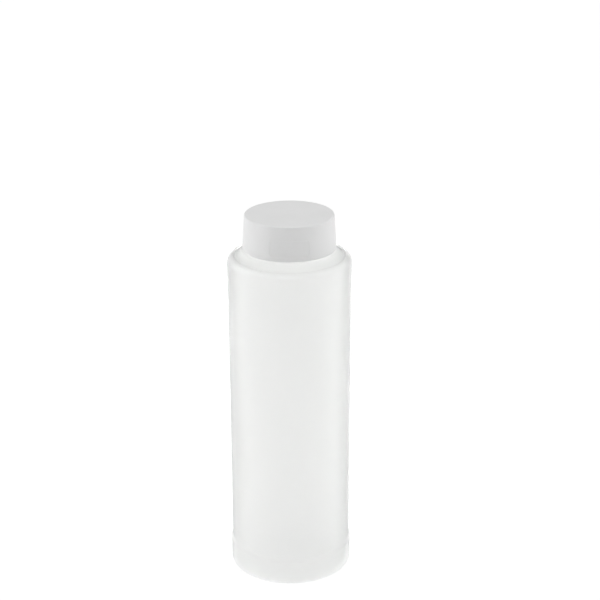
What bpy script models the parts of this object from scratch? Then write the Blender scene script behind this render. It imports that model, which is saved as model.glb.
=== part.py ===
"""Wide-mouth cylindrical reagent bottle: a blow-moulded body, a screw cap and the
cap's sealing liner, each its own solid.

Metres, +Z up, front towards -Y. The origin is the centre of the circle the bottle
stands on. Sizes below are in millimetres, heights are above the standing plane, and
both are scaled by MM when built. Profile points are (radius, z).
Run with: blender --background --python part.py
"""

import math

import bmesh
import bpy
from mathutils import Matrix

MM = 0.001

SEGMENTS = 64                # facets round every turned shape
SECTOR_STEPS = 10            # facets along the panel cutter
SHARP_DEG = 32.0             # edges sharper than this are shaded sharp
MERGE_DISTANCE = 2e-7        # metres
DEGENERATE_LENGTH = 1e-7     # metres

# ---- body, outside -----------------------------------------------------------
HEEL_RADIUS = 37.8           # lower bumper ring, the widest place
PANEL_RADIUS = 37.0          # straight label panel
BUMPER_RADIUS = 37.28        # upper bumper ring, under the shoulder
HEEL_CORNER = 0.7            # radius where the wall turns under
HEEL_TOP = 14.35             # top of the lower bumper ring
HEEL_STEP = 3.0              # height over which it necks in to the panel
BUMPER_LOW = 172.0           # the panel starts to swell here
BUMPER_HIGH = 196.0          # and is full bumper radius here
SHOULDER_Z = 204.6           # height of the shoulder just inside its corner
SHOULDER_WIDE = 3.9          # the shoulder's rounded corner
SHOULDER_TALL = 4.4
SHOULDER_CENTRE = (BUMPER_RADIUS - SHOULDER_WIDE, SHOULDER_Z - SHOULDER_TALL)
CONE_RADIUS = 32.2           # foot of the short cone that rises to the neck
CONE_Z = 204.85
CONE_TOP_RADIUS = 28.6
CONE_TOP_Z = 207.9
STAND_OUTER = 36.95          # standing ring, outer and inner radius
STAND_INNER = 32.8
PUSH_UP = 2.8                # how far the base is domed up inside the ring
# Base dome, from the middle out: radius, height as a share of PUSH_UP.
BASE_DOME = [(0.0, 1.0), (12.0, 0.88), (21.0, 0.58), (27.5, 0.26)]

# ---- neck finish -------------------------------------------------------------
NECK_RING_RADIUS = 28.0      # plain ring at the root of the neck, close to the cap's radius
NECK_RING_TOP = 208.9
NECK_RADIUS = 24.85          # neck wall under the thread
BORE_RADIUS = 23.3           # mouth
LIP_Z = 226.4                # sealing land
LIP_ROUND = 0.7              # outer edge of the lip
LIP_BEVEL_WIDE = 0.35        # inner edge of the lip
LIP_BEVEL_TALL = 0.4
# Small bevel where the neck wall meets the ring.
NECK_FOOT = [
    (NECK_RADIUS + 0.5, NECK_RING_TOP + 0.15),
    (NECK_RADIUS, NECK_RING_TOP + 0.7),
]
# Eased corners from cone to neck: corner radius and z, then the offsets
# (radius, z) from the corner to where its curve starts and ends.
EASED_CORNERS = [
    (CONE_RADIUS, CONE_Z, 0.4, -0.07, -0.6, 0.51),
    (CONE_TOP_RADIUS, CONE_TOP_Z, 0.4, -0.34, -0.27, 0.45),
    (NECK_RING_RADIUS, NECK_RING_TOP, 0.2, -0.33, -0.45, 0.0),
]

# ---- body, wall and inside ---------------------------------------------------
WALL = 1.1
WALL_HEEL = 1.7
WALL_BASE = 1.7
INNER_CORNER = 1.4           # radius inside the heel
INNER_CORNER_Z = 1.6         # height of that corner's lowest point, were it a full quarter
INNER_STEP_TOP = HEEL_TOP + HEEL_STEP + 5.0  # the wall eases from panel to heel
INNER_STEP_LOW = HEEL_TOP - 4.0              # between these heights
# Inside of the neck's root, from the bore down and out under the cone.
INNER_CONE = [
    (BORE_RADIUS, NECK_RING_TOP + 0.8),
    (BORE_RADIUS + 1.5, NECK_RING_TOP - 1.0),
    (BORE_RADIUS + 3.2, CONE_Z + 0.55),
]

# ---- screw thread ------------------------------------------------------------
PITCH = 25.4 / 6.0           # 6 turns to the inch
NECK_CREST_RADIUS = 26.0
NECK_THREAD_Z = 212.0        # height of the thread's centre line where it starts
NECK_TURNS = 1.5
RIDGE_ROOT = 2.4             # nominal width of a ridge where it leaves the wall
RIDGE_CREST = 1.0            # width of its crest
RIDGE_BURIED = 0.6           # how far the root is sunk in the wall
RIDGE_FLARE = 0.35           # extra half width at the buried root
RIDGE_END_SUNK = 0.12        # depth of the crest in the wall at a faded end
THREAD_DROP = 1.80           # the cap's ridge runs this far under the neck's
CAP_THREAD_FROM = 0.33       # in turns from the start of the neck's thread
CAP_TURNS = 1.5
RUN_OUT_DEG = 38.0           # each thread fades in and out over this angle

# ---- cap ---------------------------------------------------------------------
CAP_BOTTOM = 209.2
CAP_TOP = 230.0
CAP_BOTTOM_RADIUS = 28.12
CAP_TOP_RADIUS = 26.87
CAP_FLAT_RADIUS = 14.0       # extra ring of points on the flat top
CAP_EDGE = 0.9               # rounding of the top edge
CAP_FOOT_WIDE = 0.35         # bevel outside the skirt's foot
CAP_FOOT_TALL = 0.5
CAP_MOUTH_WIDE = 0.6         # bevel inside the skirt's foot
CAP_MOUTH_TALL = 0.8
CAP_BORE_RADIUS = 26.4       # round the thread
CAP_SEAT_RADIUS = 25.85      # round the liner
BORE_STEP_Z = 221.0
BORE_STEP_TALL = 0.9
CAP_CREST_RADIUS = 25.2
CAP_PLATE = 1.8              # thickness of the cap's top
CAP_UNDER = CAP_TOP - CAP_PLATE
BEAD_Z = 225.9
BEAD_RADIUS = CAP_SEAT_RADIUS - 0.5
# Bead that keeps the liner in, from the bottom up.
LINER_BEAD = [
    (CAP_SEAT_RADIUS, BEAD_Z - 0.7),
    (BEAD_RADIUS, BEAD_Z - 0.1),
    (BEAD_RADIUS, BEAD_Z + 0.1),
    (CAP_SEAT_RADIUS, BEAD_Z + 0.5),
]

# Shallow plain panel on the front of the skirt, and the block that cuts it.
PANEL_MIDDLE_DEG = -90.0
PANEL_HALF_DEG = 24.5
PANEL_LOW = 212.2
PANEL_HIGH = 221.6
PANEL_DEEP = 0.2
CUTTER_RADIUS = CAP_BOTTOM_RADIUS + 2.0  # outer face of the block, clear of the cap
CUTTER_FLARE = 0.5           # the block is this much taller each way at its outer face

# ---- liner -------------------------------------------------------------------
LINER_RADIUS = 25.5
LINER_THICK = 1.2
LINER_GAP = 0.3              # to the cap above it and the lip under it
LINER_FLAT_RADIUS = 12.0     # extra ring of points on each flat face
LINER_BEVEL_WIDE = 0.15
LINER_BEVEL_TALL = 0.2


# ---- curves ------------------------------------------------------------------
def smooth(share):
    """Ease a share from 0 to 1, level at both ends."""
    return share * share * (3.0 - 2.0 * share)


def arc(radius, z, wide, tall, start, end, steps):
    """Points on an ellipse centred on (radius, z), by its parameter in degrees."""
    points = []
    for i in range(steps + 1):
        angle = math.radians(start + (end - start) * i / steps)
        points.append((radius + wide * math.cos(angle), z + tall * math.sin(angle)))
    return points


def hollow(start, control, end, steps):
    """A quadratic curve between two points, pulled towards the control point."""
    points = []
    for i in range(steps + 1):
        share = i / steps
        points.append(tuple(
            (1 - share) ** 2 * first + 2 * share * (1 - share) * pull + share * share * last
            for first, pull, last in zip(start, control, end)
        ))
    return points


def ease(radius_from, z_from, radius_to, z_to, steps):
    """A smooth S between two points, vertical at both ends."""
    points = []
    for i in range(steps + 1):
        share = i / steps
        points.append((radius_from + (radius_to - radius_from) * smooth(share),
                       z_from + (z_to - z_from) * share))
    return points


# ---- solids ------------------------------------------------------------------
def finish(shape, name, parent, helper=False):
    """Clean a bmesh and link it as a named object; helpers are hidden in renders."""
    bmesh.ops.remove_doubles(shape, verts=shape.verts, dist=MERGE_DISTANCE)
    bmesh.ops.dissolve_degenerate(shape, edges=shape.edges, dist=DEGENERATE_LENGTH)
    bmesh.ops.recalc_face_normals(shape, faces=shape.faces)
    mesh = bpy.data.meshes.new(name)
    shape.to_mesh(mesh)
    shape.free()
    mesh.shade_smooth()
    mesh.set_sharp_from_angle(angle=math.radians(SHARP_DEG))

    obj = bpy.data.objects.new(name, mesh)
    bpy.context.scene.collection.objects.link(obj)
    obj.parent = parent
    if helper:
        obj.hide_render = True
        obj.display_type = "WIRE"
    return obj


def spin(shape, geometry, degrees, steps, merge=False):
    bmesh.ops.spin(
        shape,
        geom=geometry,
        cent=(0, 0, 0),
        axis=(0, 0, 1),
        angle=math.radians(degrees),
        steps=steps,
        use_merge=merge,
        use_duplicate=False,
    )


def profile_verts(shape, points, origin_z):
    return [shape.verts.new((radius * MM, 0.0, (z - origin_z) * MM)) for radius, z in points]


def turned(name, points, parent, origin_z=0.0):
    """A solid of revolution from a polyline that starts and ends on the axis."""
    shape = bmesh.new()
    verts = profile_verts(shape, points, origin_z)
    edges = [shape.edges.new(pair) for pair in zip(verts[:-1], verts[1:])]
    spin(shape, verts + edges, degrees=360.0, steps=SEGMENTS, merge=True)
    return finish(shape, name, parent)


def sector(name, points, parent, origin_z, middle_deg, half_deg):
    """A closed block made by turning a closed profile through part of a circle."""
    shape = bmesh.new()
    face = shape.faces.new(profile_verts(shape, points, origin_z))
    spin(shape, [face], degrees=2 * half_deg, steps=SECTOR_STEPS)
    bmesh.ops.transform(
        shape,
        matrix=Matrix.Rotation(math.radians(middle_deg - half_deg), 4, "Z"),
        verts=shape.verts,
        space=Matrix.Identity(4),
    )
    return finish(shape, name, parent, helper=True)


def helical_ridge(name, parent, origin_z, wall, crest, z_start, start_turn, turns):
    """A thread ridge: a trapezium swept up a right-hand helix, faded at both ends.

    wall and crest are radii; a crest inside the wall makes an internal thread. The
    root is sunk in the wall, so the join is a clear overlap.
    z_start is the centre line's height at turn 0.
    """
    shape = bmesh.new()
    outward = 1.0 if crest > wall else -1.0
    root = wall - RIDGE_BURIED * outward
    hidden = wall - RIDGE_END_SUNK * outward
    half_root = RIDGE_ROOT / 2 + RIDGE_FLARE
    half_crest = RIDGE_CREST / 2
    count = round(SEGMENTS * turns)
    fade = RUN_OUT_DEG / 360.0
    rings = []
    for i in range(count + 1):
        turn = turns * i / count
        rise = smooth(min(1.0, turn / fade, (turns - turn) / fade))
        top = hidden + (crest - hidden) * rise
        angle = 2.0 * math.pi * (start_turn + turn)
        middle = z_start + PITCH * (start_turn + turn) - origin_z
        section = [
            (root, middle - half_root),
            (top, middle - half_crest),
            (top, middle + half_crest),
            (root, middle + half_root),
        ]
        rings.append([
            shape.verts.new((radius * math.cos(angle) * MM, radius * math.sin(angle) * MM, z * MM))
            for radius, z in section
        ])
    for low, high in zip(rings[:-1], rings[1:]):
        for k in range(4):
            after = (k + 1) % 4
            shape.faces.new((low[k], low[after], high[after]))
            shape.faces.new((low[k], high[after], high[k]))
    for end in (rings[0], rings[-1]):
        shape.faces.new((end[0], end[1], end[2]))
        shape.faces.new((end[0], end[2], end[3]))
    return finish(shape, name, parent, helper=True)


def boolean(obj, other, operation):
    modifier = obj.modifiers.new(operation.lower() + "_" + other.name, "BOOLEAN")
    modifier.operation = operation
    modifier.solver = "EXACT"
    modifier.object = other


def plastic(name, colour, roughness, alpha=1.0):
    material = bpy.data.materials.new(name)
    material.use_nodes = True
    shader = material.node_tree.nodes["Principled BSDF"]
    shader.inputs["Base Color"].default_value = (*colour, 1.0)
    shader.inputs["Roughness"].default_value = roughness
    shader.inputs["Metallic"].default_value = 0.0
    shader.inputs["Alpha"].default_value = alpha
    return material


# ---- body --------------------------------------------------------------------
def body_outside():
    """From the middle of the base, out and up to the top of the lip."""
    points = [(radius, PUSH_UP * share) for radius, share in BASE_DOME]
    points += [(STAND_INNER, 0.0), (STAND_OUTER, 0.0)]
    points += arc(HEEL_RADIUS - HEEL_CORNER, HEEL_CORNER, HEEL_CORNER, HEEL_CORNER,
                  start=-76, end=0, steps=4)
    points += ease(HEEL_RADIUS, HEEL_TOP, PANEL_RADIUS, HEEL_TOP + HEEL_STEP, steps=3)
    points += ease(PANEL_RADIUS, BUMPER_LOW, BUMPER_RADIUS, BUMPER_HIGH, steps=3)
    points += arc(*SHOULDER_CENTRE, SHOULDER_WIDE, SHOULDER_TALL, start=0, end=87, steps=6)
    for radius, z, radius_in, z_in, radius_out, z_out in EASED_CORNERS:
        points += hollow((radius + radius_in, z + z_in), (radius, z),
                         (radius + radius_out, z + z_out), steps=2)
    points += NECK_FOOT
    points += [(NECK_RADIUS, LIP_Z - LIP_ROUND)]
    points += arc(NECK_RADIUS - LIP_ROUND, LIP_Z - LIP_ROUND, LIP_ROUND, LIP_ROUND,
                  start=45, end=90, steps=1)
    return points


def body_inside():
    """From the lip's inner edge, down the bore and wall to the middle of the floor."""
    points = [(BORE_RADIUS + LIP_BEVEL_WIDE, LIP_Z), (BORE_RADIUS, LIP_Z - LIP_BEVEL_TALL)]
    points += INNER_CONE
    points += arc(*SHOULDER_CENTRE, SHOULDER_WIDE - WALL, SHOULDER_TALL - WALL,
                  start=86, end=0, steps=4)
    points += ease(BUMPER_RADIUS - WALL, BUMPER_HIGH, PANEL_RADIUS - WALL, BUMPER_LOW, steps=2)
    points += ease(PANEL_RADIUS - WALL, INNER_STEP_TOP,
                   HEEL_RADIUS - WALL_HEEL, INNER_STEP_LOW, steps=2)
    points += arc(HEEL_RADIUS - WALL_HEEL - INNER_CORNER, INNER_CORNER_Z + INNER_CORNER,
                  INNER_CORNER, INNER_CORNER, start=0, end=-75, steps=4)
    points += [(radius, PUSH_UP * share + WALL_BASE) for radius, share in reversed(BASE_DOME)]
    return points


def build_body(frame, material):
    """One turned shell, open at the mouth, with the neck's thread joined on."""
    body = turned("bottle_body", body_outside() + body_inside(), frame)
    thread = helical_ridge(
        "neck_thread", frame, origin_z=0.0, wall=NECK_RADIUS, crest=NECK_CREST_RADIUS,
        z_start=NECK_THREAD_Z, start_turn=0.0, turns=NECK_TURNS,
    )
    boolean(body, thread, "UNION")
    body.data.materials.append(material)


# ---- cap ---------------------------------------------------------------------
def cap_side(z, inset=0.0):
    """Radius of the cap's outside, which is drafted, at height z."""
    share = (z - CAP_BOTTOM) / (CAP_TOP - CAP_BOTTOM)
    return CAP_BOTTOM_RADIUS + (CAP_TOP_RADIUS - CAP_BOTTOM_RADIUS) * share - inset


def cap_profile():
    """From the middle of the top, down the outside and up the inside."""
    foot_z = CAP_BOTTOM + CAP_FOOT_TALL
    points = [(0.0, CAP_TOP), (CAP_FLAT_RADIUS, CAP_TOP)]
    points += arc(CAP_TOP_RADIUS - CAP_EDGE, CAP_TOP - CAP_EDGE, CAP_EDGE, CAP_EDGE,
                  start=90, end=4, steps=4)
    points += [
        (cap_side(foot_z), foot_z),
        (cap_side(CAP_BOTTOM) - CAP_FOOT_WIDE, CAP_BOTTOM),
        (CAP_BORE_RADIUS + CAP_MOUTH_WIDE, CAP_BOTTOM),
        (CAP_BORE_RADIUS, CAP_BOTTOM + CAP_MOUTH_TALL),
        (CAP_BORE_RADIUS, BORE_STEP_Z),
        (CAP_SEAT_RADIUS, BORE_STEP_Z + BORE_STEP_TALL),
    ]
    points += LINER_BEAD
    points += [(CAP_SEAT_RADIUS, CAP_UNDER), (0.0, CAP_UNDER)]
    return points


def build_cap(axis, material):
    """A turned cup with a thread inside and the plain panel sunk into its front."""
    cap = turned("cap_shell", cap_profile(), axis, CAP_BOTTOM)
    thread = helical_ridge(
        "cap_thread", axis, origin_z=CAP_BOTTOM, wall=CAP_BORE_RADIUS, crest=CAP_CREST_RADIUS,
        z_start=NECK_THREAD_Z - THREAD_DROP, start_turn=CAP_THREAD_FROM, turns=CAP_TURNS,
    )
    boolean(cap, thread, "UNION")
    outline = [
        (cap_side(PANEL_LOW, PANEL_DEEP), PANEL_LOW),
        (CUTTER_RADIUS, PANEL_LOW - CUTTER_FLARE),
        (CUTTER_RADIUS, PANEL_HIGH + CUTTER_FLARE),
        (cap_side(PANEL_HIGH, PANEL_DEEP), PANEL_HIGH),
    ]
    cutter = sector("panel_cutter", outline, axis, CAP_BOTTOM, PANEL_MIDDLE_DEG, PANEL_HALF_DEG)
    boolean(cap, cutter, "DIFFERENCE")
    cap.data.materials.append(material)


# ---- liner -------------------------------------------------------------------
def build_liner(axis, material):
    """A loose disc between the cap's top and the lip."""
    top = CAP_UNDER - LINER_GAP
    low = top - LINER_THICK
    face_radius = LINER_RADIUS - LINER_BEVEL_WIDE
    points = [
        (0.0, top), (LINER_FLAT_RADIUS, top), (face_radius, top),
        (LINER_RADIUS, top - LINER_BEVEL_TALL), (LINER_RADIUS, low + LINER_BEVEL_TALL),
        (face_radius, low), (LINER_FLAT_RADIUS, low), (0.0, low),
    ]
    liner = turned("cap_liner", points, axis, CAP_BOTTOM)
    liner.data.materials.append(material)


def main():
    for obj in list(bpy.data.objects):
        bpy.data.objects.remove(obj, do_unlink=True)

    natural = plastic("natural_polyethylene", colour=(0.88, 0.885, 0.87), roughness=0.34,
                      alpha=0.75)
    white = plastic("white_polypropylene", colour=(0.86, 0.86, 0.855), roughness=0.42)
    foam = plastic("white_liner_foam", colour=(0.93, 0.93, 0.92), roughness=0.7)

    frame = bpy.data.objects.new("bottle_frame", None)
    cap_axis = bpy.data.objects.new("cap_axis", None)
    for empty in (frame, cap_axis):
        bpy.context.scene.collection.objects.link(empty)
    cap_axis.location = (0.0, 0.0, CAP_BOTTOM * MM)
    cap_axis.parent = frame

    build_body(frame, natural)
    build_cap(cap_axis, white)
    build_liner(cap_axis, foam)


main()
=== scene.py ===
"""Looks of a wide-mouth reagent bottle: a milky body, a white screw cap and a foam liner.

The bottle stands on z = 0 with its axis on Z. -Y is the front, and the parting lines lie at
+X and -X. Lengths are in millimetres until a mesh is made. R_ marks a radius from the axis.
"""

import math
from functools import cached_property

import bpy
import numpy as np
from mathutils import Matrix, Vector


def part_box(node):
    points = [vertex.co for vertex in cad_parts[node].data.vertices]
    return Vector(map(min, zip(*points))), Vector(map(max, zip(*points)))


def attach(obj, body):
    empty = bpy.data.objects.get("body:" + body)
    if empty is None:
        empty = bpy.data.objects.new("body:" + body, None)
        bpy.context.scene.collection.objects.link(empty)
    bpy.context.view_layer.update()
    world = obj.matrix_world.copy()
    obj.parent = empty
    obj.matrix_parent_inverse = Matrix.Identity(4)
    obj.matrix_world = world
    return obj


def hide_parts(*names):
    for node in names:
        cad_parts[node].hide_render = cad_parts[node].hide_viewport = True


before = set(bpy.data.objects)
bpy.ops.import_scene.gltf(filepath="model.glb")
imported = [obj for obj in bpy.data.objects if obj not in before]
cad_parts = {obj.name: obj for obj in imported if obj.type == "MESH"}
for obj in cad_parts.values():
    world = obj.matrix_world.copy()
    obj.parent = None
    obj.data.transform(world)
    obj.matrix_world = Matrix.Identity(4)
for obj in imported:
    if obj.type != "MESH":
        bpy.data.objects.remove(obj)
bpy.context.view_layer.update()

MM = 0.001  # metres


def reach(node):
    """Outer radius, bottom and top of a CAD piece."""
    low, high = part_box(node)
    return max(high.x, high.y) / MM, low.z / MM, high.z / MM


# ---- sizes -------------------------------------------------------------------
R_HEEL, _, LIP_Z = reach("bottle_body")
_, CAP_BOTTOM, CAP_TOP = reach("cap_shell")
R_LINER, LINER_LOW, LINER_HIGH = reach("cap_liner")

# body, outside
R_WALL, R_BUMPER = 37.0, 37.28
HEEL_CORNER, HEEL_TOP, HEEL_STEP = 0.7, 14.35, 3.0
BUMPER_LOW, BUMPER_HIGH = 172.0, 196.0
SHOULDER_Z, SHOULDER_CORNER, SHOULDER_DROP = 204.6, 3.9, 4.4
CONE_R, CONE_Z, CONE_TOP_R, CONE_TOP_Z = 32.2, 204.85, 28.6, 207.9
STAND_OUT, STAND_IN, PUSH_UP = 36.95, 32.8, 2.8
# the domed base: radius, share of PUSH_UP
DOME = ((0.0, 1.0), (6.0, 0.97), (12.0, 0.88), (21.0, 0.58), (27.5, 0.26))
R_NECK_RING, NECK_RING_TOP, R_NECK = 28.0, 208.9, 24.85
R_BORE, LIP_ROUND, BORE_ROUND = 23.3, 0.7, 0.35

# body, inside
WALL_THICK, HEEL_THICK = 1.1, 1.7
BASE_THICK = HEEL_THICK
INNER_CORNER, INNER_FLOOR = 1.4, 1.6

# marks of moulding on the body
SEAM_HEIGHT, SEAM_HALF = 0.07, 0.45
WITNESS_R, WITNESS_WIDE, WITNESS_DEEP = 33.3, 1.5, 0.45
SCAR_HEIGHT, SCAR_HALF_WIDE, SCAR_HALF_LONG = 0.38, 0.9, 17.0

# threads: widths of the ridge at its root and crest; turns start at +X
PITCH = 25.4 / 6.0
THREAD_TURNS, THREAD_ROOT, THREAD_CREST = 1.5, 2.4, 1.0
FADE = 38.0 / 360.0  # turns over which each end of a ridge rises
R_NECK_CREST, NECK_THREAD_Z, NECK_THREAD_TOP = 26.0, 212.0, 220.6
THREAD_DROP, CAP_THREAD_FROM = 1.8, 0.33

# cap
R_CAP_BOTTOM, R_CAP_TOP, CAP_EDGE = 28.12, 26.87, 0.9
R_CAP_BORE, R_CAP_SEAT, BORE_STEP_Z, R_CAP_CREST = 26.4, 25.85, 221.0, 25.2
CAP_PLATE, LINER_BEAD_Z, LINER_BEAD = 1.8, 225.9, 0.5
RIM_TOP = CAP_BOTTOM + 0.55
BORE_LOW = CAP_BOTTOM + 1.2

# the sunk panel on the front of the cap; R_PANEL turns its angle into a length
PANEL_HALF_DEG, PANEL_LOW, PANEL_HIGH, PANEL_DEEP = 24.5, 212.2, 221.6, 0.2
R_PANEL, PANEL_CORNER, PANEL_SLOPE = 27.5, 1.6, 0.5


# ---- outlines: lists of (radius, z) points -----------------------------------
def arc(centre, radii, span, steps):
    """Part of an ellipse, with radii (across, up) and a span in degrees."""
    turns = np.radians(np.linspace(*span, steps + 1))
    return [(centre[0] + radii[0] * math.cos(turn), centre[1] + radii[1] * math.sin(turn))
            for turn in turns]


def bezier(start, control, end, steps):
    start, control, end = (np.array(point, float) for point in (start, control, end))
    return [tuple((1 - t) ** 2 * start + 2 * t * (1 - t) * control + t * t * end)
            for t in np.linspace(0.0, 1.0, steps + 1)]


def ease(start, end, steps):
    """An S-curve that leaves and arrives upright."""
    return [(start[0] + (end[0] - start[0]) * smooth(t), start[1] + (end[1] - start[1]) * t)
            for t in np.linspace(0.0, 1.0, steps + 1)]


def line(start, end, step):
    count = max(1, int(round(math.dist(start, end) / step)))
    return [(start[0] + (end[0] - start[0]) * t, start[1] + (end[1] - start[1]) * t)
            for t in np.linspace(0.0, 1.0, count + 1)]


def rounded(points, radius, steps=5):
    """A polyline with each inner corner cut by a quadratic curve of about this radius."""
    points = [np.array(point, float) for point in points]
    out = [tuple(points[0])]
    for before, corner, after in zip(points[:-2], points[1:-1], points[2:]):
        back, onward = before - corner, after - corner
        back_length, onward_length = np.linalg.norm(back), np.linalg.norm(onward)
        cut = min(radius, 0.45 * back_length, 0.45 * onward_length)
        out += bezier(corner + back / back_length * cut, corner,
                      corner + onward / onward_length * cut, steps)
    out.append(tuple(points[-1]))
    return out


def refine(points, step):
    """The polyline with its long spans divided."""
    out = [points[0]]
    for start, end in zip(points[:-1], points[1:]):
        out += line(start, end, step)[1:]
    return out


def join(runs):
    """(tag, radius, z) rows from (tag, points) runs, without the repeats where runs meet."""
    rows = []
    for tag, points in runs:
        for point in points:
            if not rows or math.dist(rows[-1][1:], point) >= 1e-4:
                rows.append((tag, float(point[0]), float(point[1])))
    return rows


def smooth(value):
    value = np.clip(value, 0.0, 1.0)
    return value * value * (3.0 - 2.0 * value)


# ---- solids of revolution ----------------------------------------------------
def angles(count, finer=()):
    """Angles round the axis, with finer steps about each (centre, half width, step) in degrees."""
    degrees = list(np.arange(count) * 360.0 / count)
    for centre, half, step in finer:
        degrees = [a for a in degrees if abs((a - centre + 180.0) % 360.0 - 180.0) > half]
        degrees += [(centre + off) % 360.0 for off in np.arange(-half, half + step / 2, step)]
    return np.radians(np.unique(np.round(degrees, 5)))


def signed_volume(verts, faces):
    """Six times the volume, negative if the faces look inwards."""
    total = 0.0
    for face in faces:
        for i in range(1, len(face) - 1):
            total += np.dot(verts[face[0]], np.cross(verts[face[i]], verts[face[i + 1]]))
    return total


def lathe(name, runs, theta, material, shape=None):
    """A closed solid of revolution whose outline starts and ends on the axis.

    shape(tag, theta, radius, z) returns new (radius, z) for a ring, for what isn't round.
    """
    verts, rings, made = [], [], 0
    for tag, radius, z in join(runs):
        if radius < 1e-6:
            ring = np.array([[0.0, 0.0, z]])
        else:
            radii, heights = np.full_like(theta, radius), np.full_like(theta, z)
            if shape is not None:
                radii, heights = shape(tag, theta, radii, heights)
            ring = np.stack([radii * np.cos(theta), radii * np.sin(theta), heights], axis=1)
        verts.append(ring)
        rings.append(range(made, made + len(ring)))
        made += len(ring)
    verts = np.concatenate(verts) * MM

    faces = []
    for here, there in zip(rings[:-1], rings[1:]):
        for k in range(len(theta)):
            after = (k + 1) % len(theta)
            if len(here) == 1:
                faces.append((here[0], there[after], there[k]))
            elif len(there) == 1:
                faces.append((here[k], here[after], there[0]))
            else:
                faces.append((here[k], here[after], there[after], there[k]))

    mesh = bpy.data.meshes.new(name)
    mesh.from_pydata(verts.tolist(), [], faces)
    mesh.validate()
    if signed_volume(verts, faces) < 0:
        mesh.flip_normals()
    mesh.shade_smooth()
    mesh.set_sharp_from_angle(angle=math.radians(38))
    mesh.materials.append(material)
    obj = bpy.data.objects.new(name, mesh)
    bpy.context.scene.collection.objects.link(obj)
    return obj


def ridge(theta, z, start_z, start_turn, height):
    """Height of a rounded helical ridge over its wall."""
    best = np.zeros_like(theta)
    end_turn = start_turn + THREAD_TURNS
    for k in range(-1, 4):
        turn = theta / (2 * math.pi) + k
        inside = (turn >= start_turn) & (turn <= end_turn)
        off = np.abs(z - (start_z + PITCH * turn))
        across = smooth((THREAD_ROOT / 2 - off) / ((THREAD_ROOT - THREAD_CREST) / 2))
        ends = smooth(np.minimum((turn - start_turn) / FADE, (end_turn - turn) / FADE))
        best = np.maximum(best, np.where(inside, height * across * ends, 0.0))
    return best


# ---- body --------------------------------------------------------------------
def body_shape(tag, theta, radius, z):
    if tag in ("wall", "heel", "shoulder"):
        # Blown walls are never quite true; the two mould halves leave a fine line on each side.
        off = np.abs(np.sin(theta)) * radius
        clear = 1.0 - smooth(1.0 - off / SEAM_HALF)
        waves = np.sin(2 * theta + 0.9 + z / 47.0) * np.sin(3 * theta - z / 61.0 + 2.0)
        ripples = np.sin(7 * theta + z / 23.0) * np.sin(z / 17.0 + 1.3)
        uneven = 0.75 * (0.5 + 0.5 * waves) + 0.25 * (0.5 + 0.5 * ripples)
        amount = 0.11 if tag == "wall" else 0.03
        radius = radius - (SEAM_HEIGHT + amount * uneven) * clear
    elif tag == "thread":
        radius = radius + ridge(theta, z, NECK_THREAD_Z, 0.0, R_NECK_CREST - R_NECK)
    elif tag == "top":
        # the circle left where the mould's shoulder insert met its halves
        z = z - WITNESS_DEEP * smooth(1.0 - np.abs(radius - WITNESS_R) / (WITNESS_WIDE / 2))
    elif tag == "base":
        # The parison is pinched shut along the parting plane, which leaves a raised scar.
        x, y = radius * np.cos(theta), radius * np.sin(theta)
        scar = (smooth((SCAR_HALF_WIDE - np.abs(y)) / 0.6)
                * smooth((SCAR_HALF_LONG - np.abs(x)) / 3.0))
        nick = 0.75 + 0.25 * np.sin(x * 1.7 + 0.4) * np.sin(x * 0.61)
        z = z - SCAR_HEIGHT * scar * nick
    elif tag == "inside":
        radius = radius - 0.10 * (0.5 + 0.5 * np.sin(2 * theta - 0.6 + z / 39.0))
    return radius, z


def body_outside():
    """From the middle of the base up to the top of the neck thread."""
    dome = [(radius, PUSH_UP * share) for radius, share in DOME] + [(STAND_IN, 0.02)]
    stand = rounded([(STAND_IN - 0.9, 0.25), (STAND_IN + 0.2, 0.0), (STAND_OUT - 0.1, 0.0)], 0.8)
    heel = arc((R_HEEL - HEEL_CORNER, HEEL_CORNER), (HEEL_CORNER, HEEL_CORNER), (-76, 0), 12)
    step_low = HEEL_TOP - 0.4
    turn = arc((R_BUMPER - SHOULDER_CORNER, SHOULDER_Z - SHOULDER_DROP),
               (SHOULDER_CORNER, SHOULDER_DROP), (0, 84), 18)
    top_end, cone_foot = (CONE_R + 0.4, CONE_Z - 0.07), (CONE_R - 0.6, CONE_Z + 0.51)
    ring_inner = (R_NECK_RING - 1.0, NECK_RING_TOP)
    thread_foot = (R_NECK, NECK_RING_TOP + 1.4)
    return [
        ("base", refine(dome, step=1.1)),
        ("ring", stand[1:]),
        ("heel", heel),
        ("heel", line((R_HEEL, HEEL_CORNER), (R_HEEL, step_low), step=2.0)),
        ("heel", ease((R_HEEL, step_low), (R_WALL, step_low + HEEL_STEP), steps=12)),
        ("wall", line((R_WALL, HEEL_TOP + HEEL_STEP), (R_WALL, BUMPER_LOW), step=4.0)),
        ("wall", ease((R_WALL, BUMPER_LOW), (R_BUMPER, BUMPER_HIGH), steps=10)),
        ("shoulder", line((R_BUMPER, BUMPER_HIGH), (R_BUMPER, SHOULDER_Z - SHOULDER_DROP),
                          step=1.5)),
        ("shoulder", turn),
        ("top", line(turn[-1], top_end, step=0.12)),
        ("top", bezier(top_end, (CONE_R, CONE_Z), cone_foot, steps=6)),
        ("neck", rounded([cone_foot, (CONE_TOP_R, CONE_TOP_Z), (R_NECK_RING, NECK_RING_TOP),
                          ring_inner], 1.0, steps=8)),
        ("neck", rounded([ring_inner, (R_NECK, NECK_RING_TOP + 0.15), thread_foot], 0.4, steps=6)),
        ("thread", line(thread_foot, (R_NECK, NECK_THREAD_TOP), step=0.16)),
    ]


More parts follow.
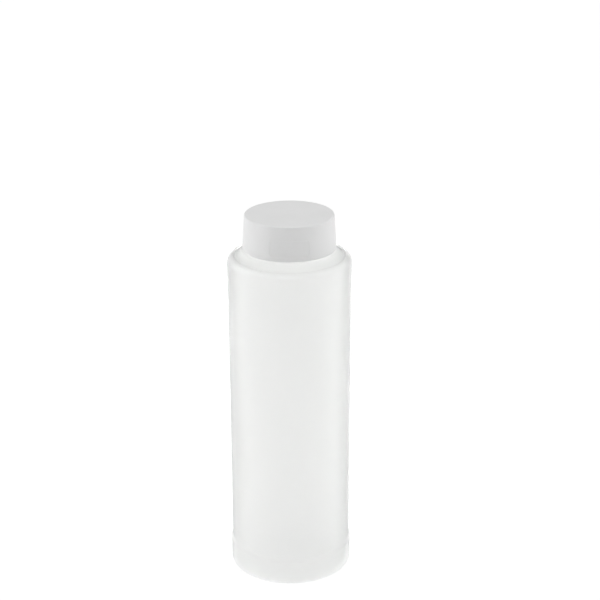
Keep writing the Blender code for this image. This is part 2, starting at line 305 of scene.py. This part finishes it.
def body_inside():
    """From the top of the neck thread over the lip and down to the middle of the floor."""
    lip_low, bore_top = LIP_Z - LIP_ROUND, LIP_Z - BORE_ROUND
    bore_foot = (R_BORE, NECK_RING_TOP + 1.6)
    wall, heel = R_WALL - WALL_THICK, R_HEEL - HEEL_THICK
    step_top = HEEL_TOP + HEEL_STEP + 5.0
    floor = [(radius, PUSH_UP * share + BASE_THICK) for radius, share in reversed(DOME)]
    return [
        ("neck", line((R_NECK, NECK_THREAD_TOP), (R_NECK, lip_low), step=1.0)),
        ("neck", arc((R_NECK - LIP_ROUND, lip_low), (LIP_ROUND, LIP_ROUND), (0, 90), 6)),
        ("neck", arc((R_BORE + BORE_ROUND, bore_top), (BORE_ROUND, BORE_ROUND), (90, 180), 5)),
        ("neck", line((R_BORE, bore_top), bore_foot, step=2.0)),
        ("inner", rounded([bore_foot, (R_BORE, NECK_RING_TOP + 0.8),
                           (R_BORE + 1.5, NECK_RING_TOP - 1.0), (R_BORE + 3.2, CONE_Z + 0.55),
                           (30.6, SHOULDER_Z - 0.6)], 0.9, steps=6)),
        ("inner", arc((R_BUMPER - SHOULDER_CORNER, SHOULDER_Z - SHOULDER_DROP),
                      (SHOULDER_CORNER - WALL_THICK, SHOULDER_DROP - WALL_THICK), (84, 0), 10)),
        ("inside", ease((R_BUMPER - WALL_THICK, BUMPER_HIGH), (wall, BUMPER_LOW), steps=6)),
        ("inside", line((wall, BUMPER_LOW), (wall, step_top), step=6.0)),
        ("inside", ease((wall, step_top), (heel, HEEL_TOP - 4.0), steps=8)),
        ("inner", arc((heel - INNER_CORNER, INNER_FLOOR + INNER_CORNER),
                      (INNER_CORNER, INNER_CORNER), (0, -75), 8)),
        ("inner", refine(floor, step=2.5)),
    ]


# ---- cap ---------------------------------------------------------------------
def cap_side(z):
    """Radius of the tapered skirt."""
    return R_CAP_BOTTOM + (R_CAP_TOP - R_CAP_BOTTOM) * (z - CAP_BOTTOM) / (CAP_TOP - CAP_BOTTOM)


def cap_shape(tag, theta, radius, z):
    if tag == "side":
        # A plain rounded panel, sunk a little into the front of the skirt.
        from_front = (theta + math.pi / 2 + math.pi) % (2 * math.pi) - math.pi
        half_wide = math.radians(PANEL_HALF_DEG) * R_PANEL
        middle, half_tall = (PANEL_LOW + PANEL_HIGH) / 2, (PANEL_HIGH - PANEL_LOW) / 2
        across = np.abs(from_front) * R_PANEL - (half_wide - PANEL_CORNER)
        upward = np.abs(z - middle) - (half_tall - PANEL_CORNER)
        outside = (np.hypot(np.maximum(across, 0), np.maximum(upward, 0))
                   + np.minimum(np.maximum(across, upward), 0) - PANEL_CORNER)
        radius = radius - PANEL_DEEP * smooth(0.5 - outside / PANEL_SLOPE)
    elif tag == "bore":
        radius = radius - ridge(theta, z, NECK_THREAD_Z - THREAD_DROP, CAP_THREAD_FROM,
                                R_CAP_BORE - R_CAP_CREST)
    return radius, z


def cap_profile():
    """From the middle of the top, down the skirt, up the bore and back under the plate."""
    under = CAP_TOP - CAP_PLATE
    edge = R_CAP_TOP - CAP_EDGE
    rim = rounded([(cap_side(RIM_TOP), RIM_TOP), (cap_side(CAP_BOTTOM) - 0.02, CAP_BOTTOM),
                   (R_CAP_BORE + 0.6, CAP_BOTTOM), (R_CAP_BORE, CAP_BOTTOM + 0.8),
                   (R_CAP_BORE, BORE_LOW)], 0.4)
    seat = [(R_CAP_BORE, BORE_STEP_Z - 0.2), (R_CAP_BORE, BORE_STEP_Z),
            (R_CAP_SEAT, BORE_STEP_Z + 0.9), (R_CAP_SEAT, LINER_BEAD_Z - 0.7),
            (R_CAP_SEAT - LINER_BEAD, LINER_BEAD_Z), (R_CAP_SEAT, LINER_BEAD_Z + 0.6),
            (R_CAP_SEAT, under - 0.3), (R_CAP_SEAT - 0.3, under), (R_CAP_SEAT - 1.5, under)]
    side_top = CAP_TOP - CAP_EDGE - 0.6
    return [
        ("top", line((0.0, CAP_TOP), (edge, CAP_TOP), step=3.0)),
        ("top", arc((edge, CAP_TOP - CAP_EDGE), (CAP_EDGE, CAP_EDGE), (90, 3.4), 10)),
        ("side", [(cap_side(z), z) for z in np.arange(side_top, RIM_TOP, -0.22)]),
        ("rim", rim[1:]),
        ("bore", line((R_CAP_BORE, BORE_LOW), (R_CAP_BORE, BORE_STEP_Z - 0.3), step=0.16)),
        ("seat", rounded(seat, 0.3)),
        ("seat", line(seat[-1], (0.0, under), step=4.0)),
    ]


# ---- liner -------------------------------------------------------------------
def liner_profile():
    edge = 0.25
    return [
        ("top", line((0.0, LINER_HIGH), (R_LINER - 0.4, LINER_HIGH), step=3.0)),
        ("edge", arc((R_LINER - edge, LINER_HIGH - edge), (edge, edge), (90, 0), 5)),
        ("edge", arc((R_LINER - edge, LINER_LOW + edge), (edge, edge), (0, -90), 5)),
        # the lip has pressed a faint ring into the soft underside
        ("under", [(R_NECK + 0.15, LINER_LOW), (R_NECK - 0.1, LINER_LOW + 0.10),
                   (R_BORE + 0.5, LINER_LOW + 0.12), (R_BORE + 0.1, LINER_LOW)]),
        ("under", line((R_BORE + 0.1, LINER_LOW), (0.0, LINER_LOW), step=3.0)),
    ]


# ---- shader trees ------------------------------------------------------------
class Nodes:
    """Builds one node tree. An input takes either a value or another node's output."""

    def __init__(self, tree):
        self.tree = tree

    @cached_property
    def coords(self):
        return self.new("ShaderNodeTexCoord").outputs

    def plug(self, slot, value):
        if isinstance(value, bpy.types.NodeSocket):
            self.tree.links.new(value, slot)
        else:
            slot.default_value = value

    def put(self, node, **inputs):
        for key, value in inputs.items():
            self.plug(node.inputs[key.replace("_", " ")], value)

    def new(self, kind, **inputs):
        node = self.tree.nodes.new(kind)
        self.put(node, **inputs)
        return node

    def noise(self, scale, detail, roughness, stretch=None):
        """Noise in object space, scale in features per metre."""
        source = self.coords["Object"]
        if stretch:
            source = self.new("ShaderNodeMapping", Scale=stretch, Vector=source).outputs["Vector"]
        return self.new("ShaderNodeTexNoise", Scale=scale, Detail=detail, Roughness=roughness,
                        Vector=source).outputs["Fac"]

    def ramp(self, value, across, to=(0.0, 1.0), kind="SMOOTHSTEP"):
        node = self.new("ShaderNodeMapRange", From_Min=across[0], From_Max=across[1],
                        To_Min=to[0], To_Max=to[1], Value=value)
        node.interpolation_type = kind
        return node.outputs["Result"]

    def math(self, operation, *values):
        node = self.new("ShaderNodeMath")
        node.operation = operation
        for slot, value in zip(node.inputs, values):
            self.plug(slot, value)
        return node.outputs["Value"]

    def mix(self, factor, low, high):
        node = self.new("ShaderNodeMix")
        node.data_type = "RGBA"
        self.put(node, Factor=factor)
        # the colour sockets share their names with others, so they go by index
        self.plug(node.inputs[6], low)
        self.plug(node.inputs[7], high)
        return node.outputs[2]

    def mix_shader(self, factor, first, second):
        node = self.new("ShaderNodeMixShader", Fac=factor)
        self.plug(node.inputs[1], first)
        self.plug(node.inputs[2], second)
        return node.outputs[0]

    def bump(self, height, strength, distance, **under):
        return self.new("ShaderNodeBump", Height=height, Strength=strength, Distance=distance,
                        **under).outputs["Normal"]


class Material(Nodes):
    def __init__(self, name):
        self.data = bpy.data.materials.new(name)
        self.data.use_nodes = True
        super().__init__(self.data.node_tree)
        self.shader = self.tree.nodes["Principled BSDF"]
        self.output = self.tree.nodes["Material Output"]


# ---- materials ---------------------------------------------------------------
def polyethylene():
    """Milky wall: light passes through it and is blurred in both of its faces."""
    mat = Material("milky_polyethylene")
    x, y, z = mat.new("ShaderNodeSeparateXYZ", Vector=mat.coords["Object"]).outputs
    # the thick root of the neck passes on more of the light that comes up through the bottle
    passed = mat.ramp(z, across=(203.6 * MM, 204.8 * MM), to=(0.70, 1.00))
    cloud = mat.noise(scale=55.0, detail=4.0, roughness=0.55)
    milk = mat.mix(mat.ramp(cloud, across=(0.3, 0.7)),
                   low=(0.988, 0.99, 0.986, 1.0), high=(0.98, 0.983, 0.978, 1.0))
    # painted shade: the base colour is darkened in a ring round the shoulder crease, standing in
    # for the self-shadow that its shallow groove doesn't cast deeply enough
    squares = mat.math("ADD", mat.math("MULTIPLY", x, x), mat.math("MULTIPLY", y, y))
    radius = mat.math("SQRT", squares)
    off = mat.math("ABSOLUTE", mat.math("SUBTRACT", radius, WITNESS_R * MM))
    painted_crease_shade = mat.math("MULTIPLY",
                      mat.ramp(off, across=(0.0, WITNESS_WIDE / 2 * MM), to=(1.0, 0.0)),
                      mat.ramp(z, across=(203.7 * MM, 204.2 * MM)))
    flow = mat.noise(scale=38.0, detail=3.0, roughness=0.55, stretch=(1.0, 1.0, 0.18))
    peel = mat.noise(scale=420.0, detail=2.0, roughness=0.5)
    fine = mat.bump(peel, strength=0.25, distance=0.00008)
    mat.put(mat.shader,
            IOR=1.15,
            Transmission_Weight=passed,
            # base colour with the painted shade of the shoulder crease mixed in
            Base_Color=mat.mix(painted_crease_shade, low=milk, high=(0.86, 0.862, 0.856, 1.0)),
            Roughness=mat.ramp(flow, across=(0.3, 0.7), to=(0.70, 0.80)),
            Normal=mat.bump(flow, strength=0.35, distance=0.0004, Normal=fine))
    return mat.data


def polypropylene():
    """White cap plastic with a fine grain and faint scuffs."""
    mat = Material("moulded_polypropylene")
    cloud = mat.noise(scale=70.0, detail=3.0, roughness=0.5)
    grain = mat.noise(scale=3400.0, detail=2.0, roughness=0.6)
    scuff = mat.noise(scale=240.0, detail=5.0, roughness=0.7, stretch=(1.0, 1.0, 3.0))
    fine = mat.bump(grain, strength=0.22, distance=0.00006)
    mat.put(mat.shader,
            IOR=1.49,
            Specular_IOR_Level=0.4,
            Base_Color=mat.mix(mat.ramp(cloud, across=(0.35, 0.65)),
                               low=(0.812, 0.813, 0.812, 1.0), high=(0.800, 0.801, 0.800, 1.0)),
            Roughness=mat.math("ADD", mat.ramp(scuff, across=(0.45, 0.75), to=(0.40, 0.52)),
                               mat.ramp(grain, across=(0.3, 0.7), to=(-0.02, 0.02))),
            Normal=mat.bump(cloud, strength=0.10, distance=0.0003, Normal=fine))
    return mat.data


def liner_foam():
    mat = Material("foamed_liner")
    cells = mat.new("ShaderNodeTexVoronoi", Scale=2600.0,
                    Vector=mat.coords["Object"]).outputs["Distance"]
    mat.put(mat.shader,
            Base_Color=mat.mix(mat.ramp(cells, across=(0.0, 0.8)),
                               low=(0.93, 0.93, 0.925, 1.0), high=(0.87, 0.87, 0.862, 1.0)),
            Roughness=0.7,
            Normal=mat.bump(cells, strength=0.5, distance=0.00012))
    return mat.data


def pale_floor():
    """Softly glowing grey, clear from below so the bottle's underside can be seen."""
    mat = Material("pale_floor")
    mat.put(mat.shader, Base_Color=(0.30, 0.30, 0.30, 1.0), Roughness=0.9, Specular_IOR_Level=0.1,
            Emission_Color=(1.0, 1.0, 1.0, 1.0), Emission_Strength=0.76)
    clear = mat.new("ShaderNodeBsdfTransparent").outputs[0]
    below = mat.new("ShaderNodeNewGeometry").outputs["Backfacing"]
    mat.put(mat.output, Surface=mat.mix_shader(below, mat.shader.outputs[0], clear))
    return mat.data


# ---- stage (metres) ----------------------------------------------------------
# Soft light by direction, which keeps its place about the camera, as on a turntable set:
# degrees round from behind the bottle (0) to the camera's side (180), degrees up, strength
SKY = ((0, 0, 0.63), (45, 0, 0.76), (90, 0, 2.03),
       (45, 45, 0.82), (90, 45, 0.68), (135, 45, 0.06), (180, 45, 0.36))
OVERHEAD = 3.32  # strength straight up
LOBE = 45.0      # degrees over which each light fades out
TILT_SLOPE = 0.386  # of the camera's downward tilt; tells ahead of the camera from behind it
BACKDROP = 1.02  # strength of the white that the camera sees

CAMERA_PLACE = (0.0004, -0.8267, 0.4943)
CAMERA_TURN, CAMERA_TILT, CAMERA_ROLL = -0.00706, 0.36839, -0.00232  # radians

FLOOR_HALF, FLOOR_CELLS = 3.0, 4
# left and right softboxes: name, side, power in watts
SOFTBOXES = (("softbox_left", -1, 1.6), ("softbox_right", 1, 1.3))
SOFTBOX_SIZE, SOFTBOX_PLACE, SOFTBOX_AIM = (0.35, 0.8), (0.75, -0.35, 0.45), (0, 0, 0.12)


def sky():
    """The same left and right: bright at the sides and overhead, dim on the camera's side."""
    world = bpy.data.worlds.new("studio")
    bpy.context.scene.world = world
    world.use_nodes = True
    world.node_tree.nodes.clear()
    nodes = Nodes(world.node_tree)
    calc = nodes.math

    def hat(value, centre):
        """1 at the centre angle, falling evenly to 0 one LOBE away."""
        off = calc("ABSOLUTE", calc("SUBTRACT", value, math.radians(centre)))
        return nodes.ramp(off, across=(0.0, math.radians(LOBE)), to=(1.0, 0.0), kind="LINEAR")

    z = nodes.new("ShaderNodeSeparateXYZ", Vector=nodes.coords["Generated"]).outputs[2]
    across, above, ahead = nodes.new("ShaderNodeSeparateXYZ",
                                     Vector=nodes.coords["Camera"]).outputs
    # the level part of the direction, along the camera's heading
    squares = calc("MULTIPLY_ADD", above, above, calc("MULTIPLY", ahead, ahead))
    level = calc("SUBTRACT", squares, calc("MULTIPLY", z, z))
    level = calc("SQRT", calc("MAXIMUM", level, 0.0))
    side = calc("SIGN", calc("MULTIPLY_ADD", above, TILT_SLOPE, ahead))
    along = calc("MULTIPLY", level, side)
    round_by = calc("ARCTAN2", calc("ABSOLUTE", across), along)
    up_by = calc("ARCSINE", z)

    total = calc("MULTIPLY", hat(up_by, 90.0), OVERHEAD)
    for azimuth, height, strength in SKY:
        lobe = calc("MULTIPLY", hat(round_by, azimuth), hat(up_by, height))
        total = calc("ADD", total, calc("MULTIPLY", lobe, strength))

    glow = nodes.new("ShaderNodeBackground", Strength=total).outputs[0]
    white = nodes.new("ShaderNodeBackground", Color=(1.0, 1.0, 1.0, 1.0),
                      Strength=BACKDROP).outputs[0]
    seen = nodes.new("ShaderNodeLightPath").outputs["Is Camera Ray"]
    nodes.new("ShaderNodeOutputWorld", Surface=nodes.mix_shader(seen, glow, white))


def add_floor():
    mesh = bpy.data.meshes.new("floor")
    ticks = [(-1 + 2 * i / FLOOR_CELLS) * FLOOR_HALF for i in range(FLOOR_CELLS + 1)]
    row = FLOOR_CELLS + 1
    mesh.from_pydata([(x, y, 0.0) for y in ticks for x in ticks], [],
                     [(i + j * row, i + 1 + j * row, i + 1 + (j + 1) * row, i + (j + 1) * row)
                      for j in range(FLOOR_CELLS) for i in range(FLOOR_CELLS)])
    floor = bpy.data.objects.new("floor", mesh)
    bpy.context.scene.collection.objects.link(floor)
    mesh.materials.append(pale_floor())


def add_softbox(name, side, power, cam):
    """A light on one side that follows the camera."""
    lamp = bpy.data.lights.new(name, "AREA")
    lamp.shape = "RECTANGLE"
    lamp.size, lamp.size_y = SOFTBOX_SIZE
    lamp.energy = power
    obj = bpy.data.objects.new(name, lamp)
    bpy.context.scene.collection.objects.link(obj)
    x, y, z = SOFTBOX_PLACE
    place = Vector((side * x, y, z))
    turn = (place - Vector(SOFTBOX_AIM)).to_track_quat("Z", "Y").to_matrix().to_4x4()
    obj.parent = cam
    obj.matrix_parent_inverse = cam.matrix_world.inverted()
    obj.matrix_basis = Matrix.Translation(place) @ turn
    obj.visible_camera = False


def add_camera():
    """In front of the bottle and above it, looking down."""
    data = bpy.data.cameras.new("camera")
    cam = bpy.data.objects.new("camera", data)
    bpy.context.scene.collection.objects.link(cam)
    cam.matrix_world = (
        Matrix.Translation(CAMERA_PLACE)
        @ Matrix.Rotation(CAMERA_TURN, 4, "Z")
        @ Matrix.Rotation(math.pi / 2 - CAMERA_TILT, 4, "X")
        @ Matrix.Rotation(CAMERA_ROLL, 4, "Z")
    )
    data.sensor_width = 36.0
    data.lens = 87.9324
    data.clip_start = 0.01
    bpy.context.scene.camera = cam
    return cam


# ---- build -------------------------------------------------------------------
seams = [(centre, 1.2, 0.17) for centre in (0.0, 180.0)]
panel_ends = [(270.0 + side * PANEL_HALF_DEG, 1.6, 0.2) for side in (-1, 1)]
body = lathe("body_visual", body_outside() + body_inside(), angles(240, seams), polyethylene(),
             body_shape)
cap = lathe("cap_visual", cap_profile(), angles(300, panel_ends), polypropylene(), cap_shape)
liner = lathe("liner_visual", liner_profile(), angles(180), liner_foam())

for piece, node, ride_on, finish in (
    (body, "bottle_body", "bottle", "natural_polyethylene"),
    (cap, "cap_shell", "cap", "white_polypropylene"),
    (liner, "cap_liner", "liner", "white_liner_foam"),
):
    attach(piece, ride_on)
    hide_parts(node)

camera = add_camera()
bpy.context.scene.view_settings.view_transform = "Standard"
sky()
add_floor()
for name, side, power in SOFTBOXES:
    add_softbox(name, side, power, camera)
